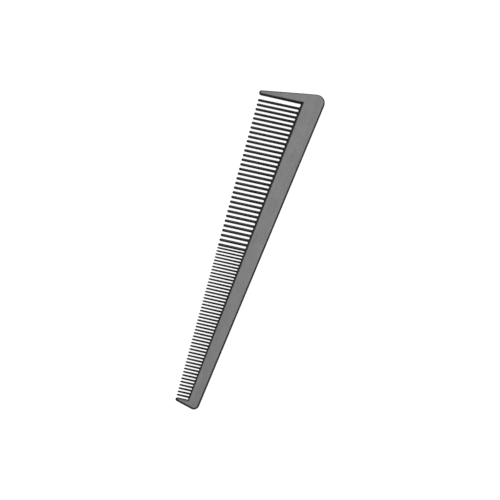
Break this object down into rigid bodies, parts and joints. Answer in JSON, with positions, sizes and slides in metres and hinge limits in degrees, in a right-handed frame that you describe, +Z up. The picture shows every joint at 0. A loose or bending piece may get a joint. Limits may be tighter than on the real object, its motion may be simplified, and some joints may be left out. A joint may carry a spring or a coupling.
{
  "type": "tapered barber comb",
  "caption": "Flat tapered barber comb with a straight back, a coarse row and a fine row of leaning teeth, and a guard at each end.",
  "frame": {"origin": "bottom centre of the bounding box, on the face that the comb lies on", "axes": "+X from the heel, the wide end, to the toe along the straight back; +Y towards the back edge, so the teeth point to -Y; +Z up through the thickness"},
  "size_m": [0.178, 0.0354, 0.0036],
  "materials": {
    "comb_plastic": "satin, near-black, carbon-filled plastic, moulded, with a fine even grain"
  },
  "bodies": {
    "root": {"spine": "comb_plastic", "heel_guard": "comb_plastic", "toe_guard": "comb_plastic", "coarse_teeth": "comb_plastic", "fine_teeth": "comb_plastic"}
  },
  "joints": []
}
